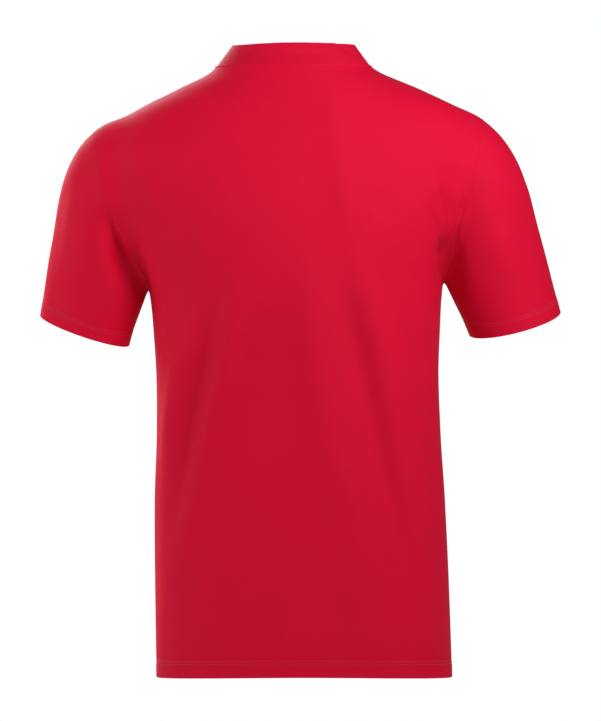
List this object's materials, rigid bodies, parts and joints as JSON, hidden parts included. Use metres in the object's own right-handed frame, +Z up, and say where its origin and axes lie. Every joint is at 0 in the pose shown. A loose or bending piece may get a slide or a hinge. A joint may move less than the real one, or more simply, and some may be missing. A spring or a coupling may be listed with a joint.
{
  "type": "polo shirt",
  "caption": "Short-sleeved knit polo shirt with a low stand-up band collar and a buttoned placket, hollow, in its worn shape.",
  "frame": {"origin": "base of the neck, midway between the two points where the shoulder seams meet the collar", "axes": "+Z up, along the wearer's spine; +X to the wearer's left; -Y is the front with the placket"},
  "size_m": [0.6086, 0.259, 0.7393],
  "materials": {
    "knit": "red fine knit, matte with a faint sheen",
    "collar_rib": "red fine rib knit, matte",
    "button": "red, smooth"
  },
  "bodies": {
    "root": {"back": "knit", "front": "knit", "sleeve_left": "knit", "sleeve_right": "knit", "collar": "collar_rib", "placket_top": "knit", "placket_under": "knit", "button_1": "button", "button_2": "button", "button_3": "button"}
  },
  "joints": []
}
